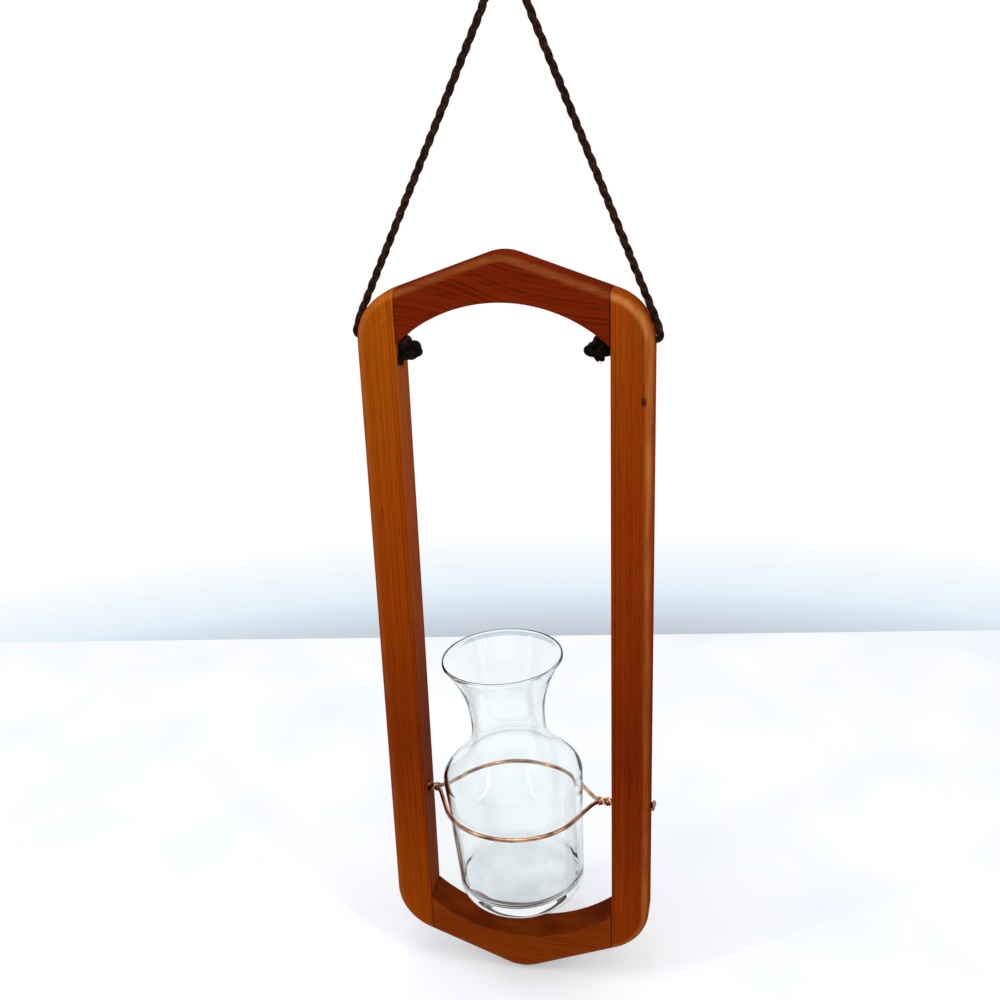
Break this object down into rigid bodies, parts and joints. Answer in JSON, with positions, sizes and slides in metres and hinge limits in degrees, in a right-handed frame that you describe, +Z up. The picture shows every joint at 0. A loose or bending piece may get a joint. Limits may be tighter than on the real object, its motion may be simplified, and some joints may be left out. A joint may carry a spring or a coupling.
{
  "type": "hanging vase",
  "caption": "Tall wooden frame that hangs on a plaited cord and carries a small clear glass carafe in a tilting ring of twisted copper wire, for a stem or a cutting.",
  "frame": {"origin": "where a hook carries the cord: the underside of the cord's bend, above the frame", "axes": "+Z up, +Y through the frame from its front to its back, +X to the right as seen from the front"},
  "size_m": [0.1336, 0.0704, 0.4635],
  "materials": {
    "cord": "plaited",
    "stile_wood": "satin varnish",
    "rail_wood": "satin varnish",
    "dowel_wood": "bare",
    "copper": "bright copper",
    "clear_glass": "polished"
  },
  "bodies": {
    "hanger": {"hanging_cord": "cord"},
    "frame": {"left_stile": "stile_wood", "right_stile": "stile_wood", "top_rail": "rail_wood", "bottom_rail": "rail_wood", "left_cord_end": "cord", "right_cord_end": "cord", "top_left_front_dowel": "dowel_wood", "top_left_back_dowel": "dowel_wood", "top_right_front_dowel": "dowel_wood", "top_right_back_dowel": "dowel_wood", "bottom_left_front_dowel": "dowel_wood", "bottom_left_back_dowel": "dowel_wood", "bottom_right_front_dowel": "dowel_wood", "bottom_right_back_dowel": "dowel_wood"},
    "ring": {"ring_wire_front": "copper", "ring_wire_back": "copper"},
    "vase": {"glass_vase": "clear_glass"}
  },
  "joints": [
    {"name": "frame_swing", "type": "hinge", "parent": "hanger", "child": "frame", "pos_m": [-0.0045, 0, -0.1275], "axis": [1, 0, 0], "range_deg": [-30, 30]},
    {"name": "ring_tilt", "type": "hinge", "parent": "frame", "child": "ring", "pos_m": [-0.0045, 0, -0.3626], "axis": [1, 0, 0], "range_deg": [-45, 45]},
    {"name": "vase_lift", "type": "slide", "parent": "ring", "child": "vase", "axis": [-0.0523, 0, 0.9986], "range_m": [0, 0.065]}
  ]
}
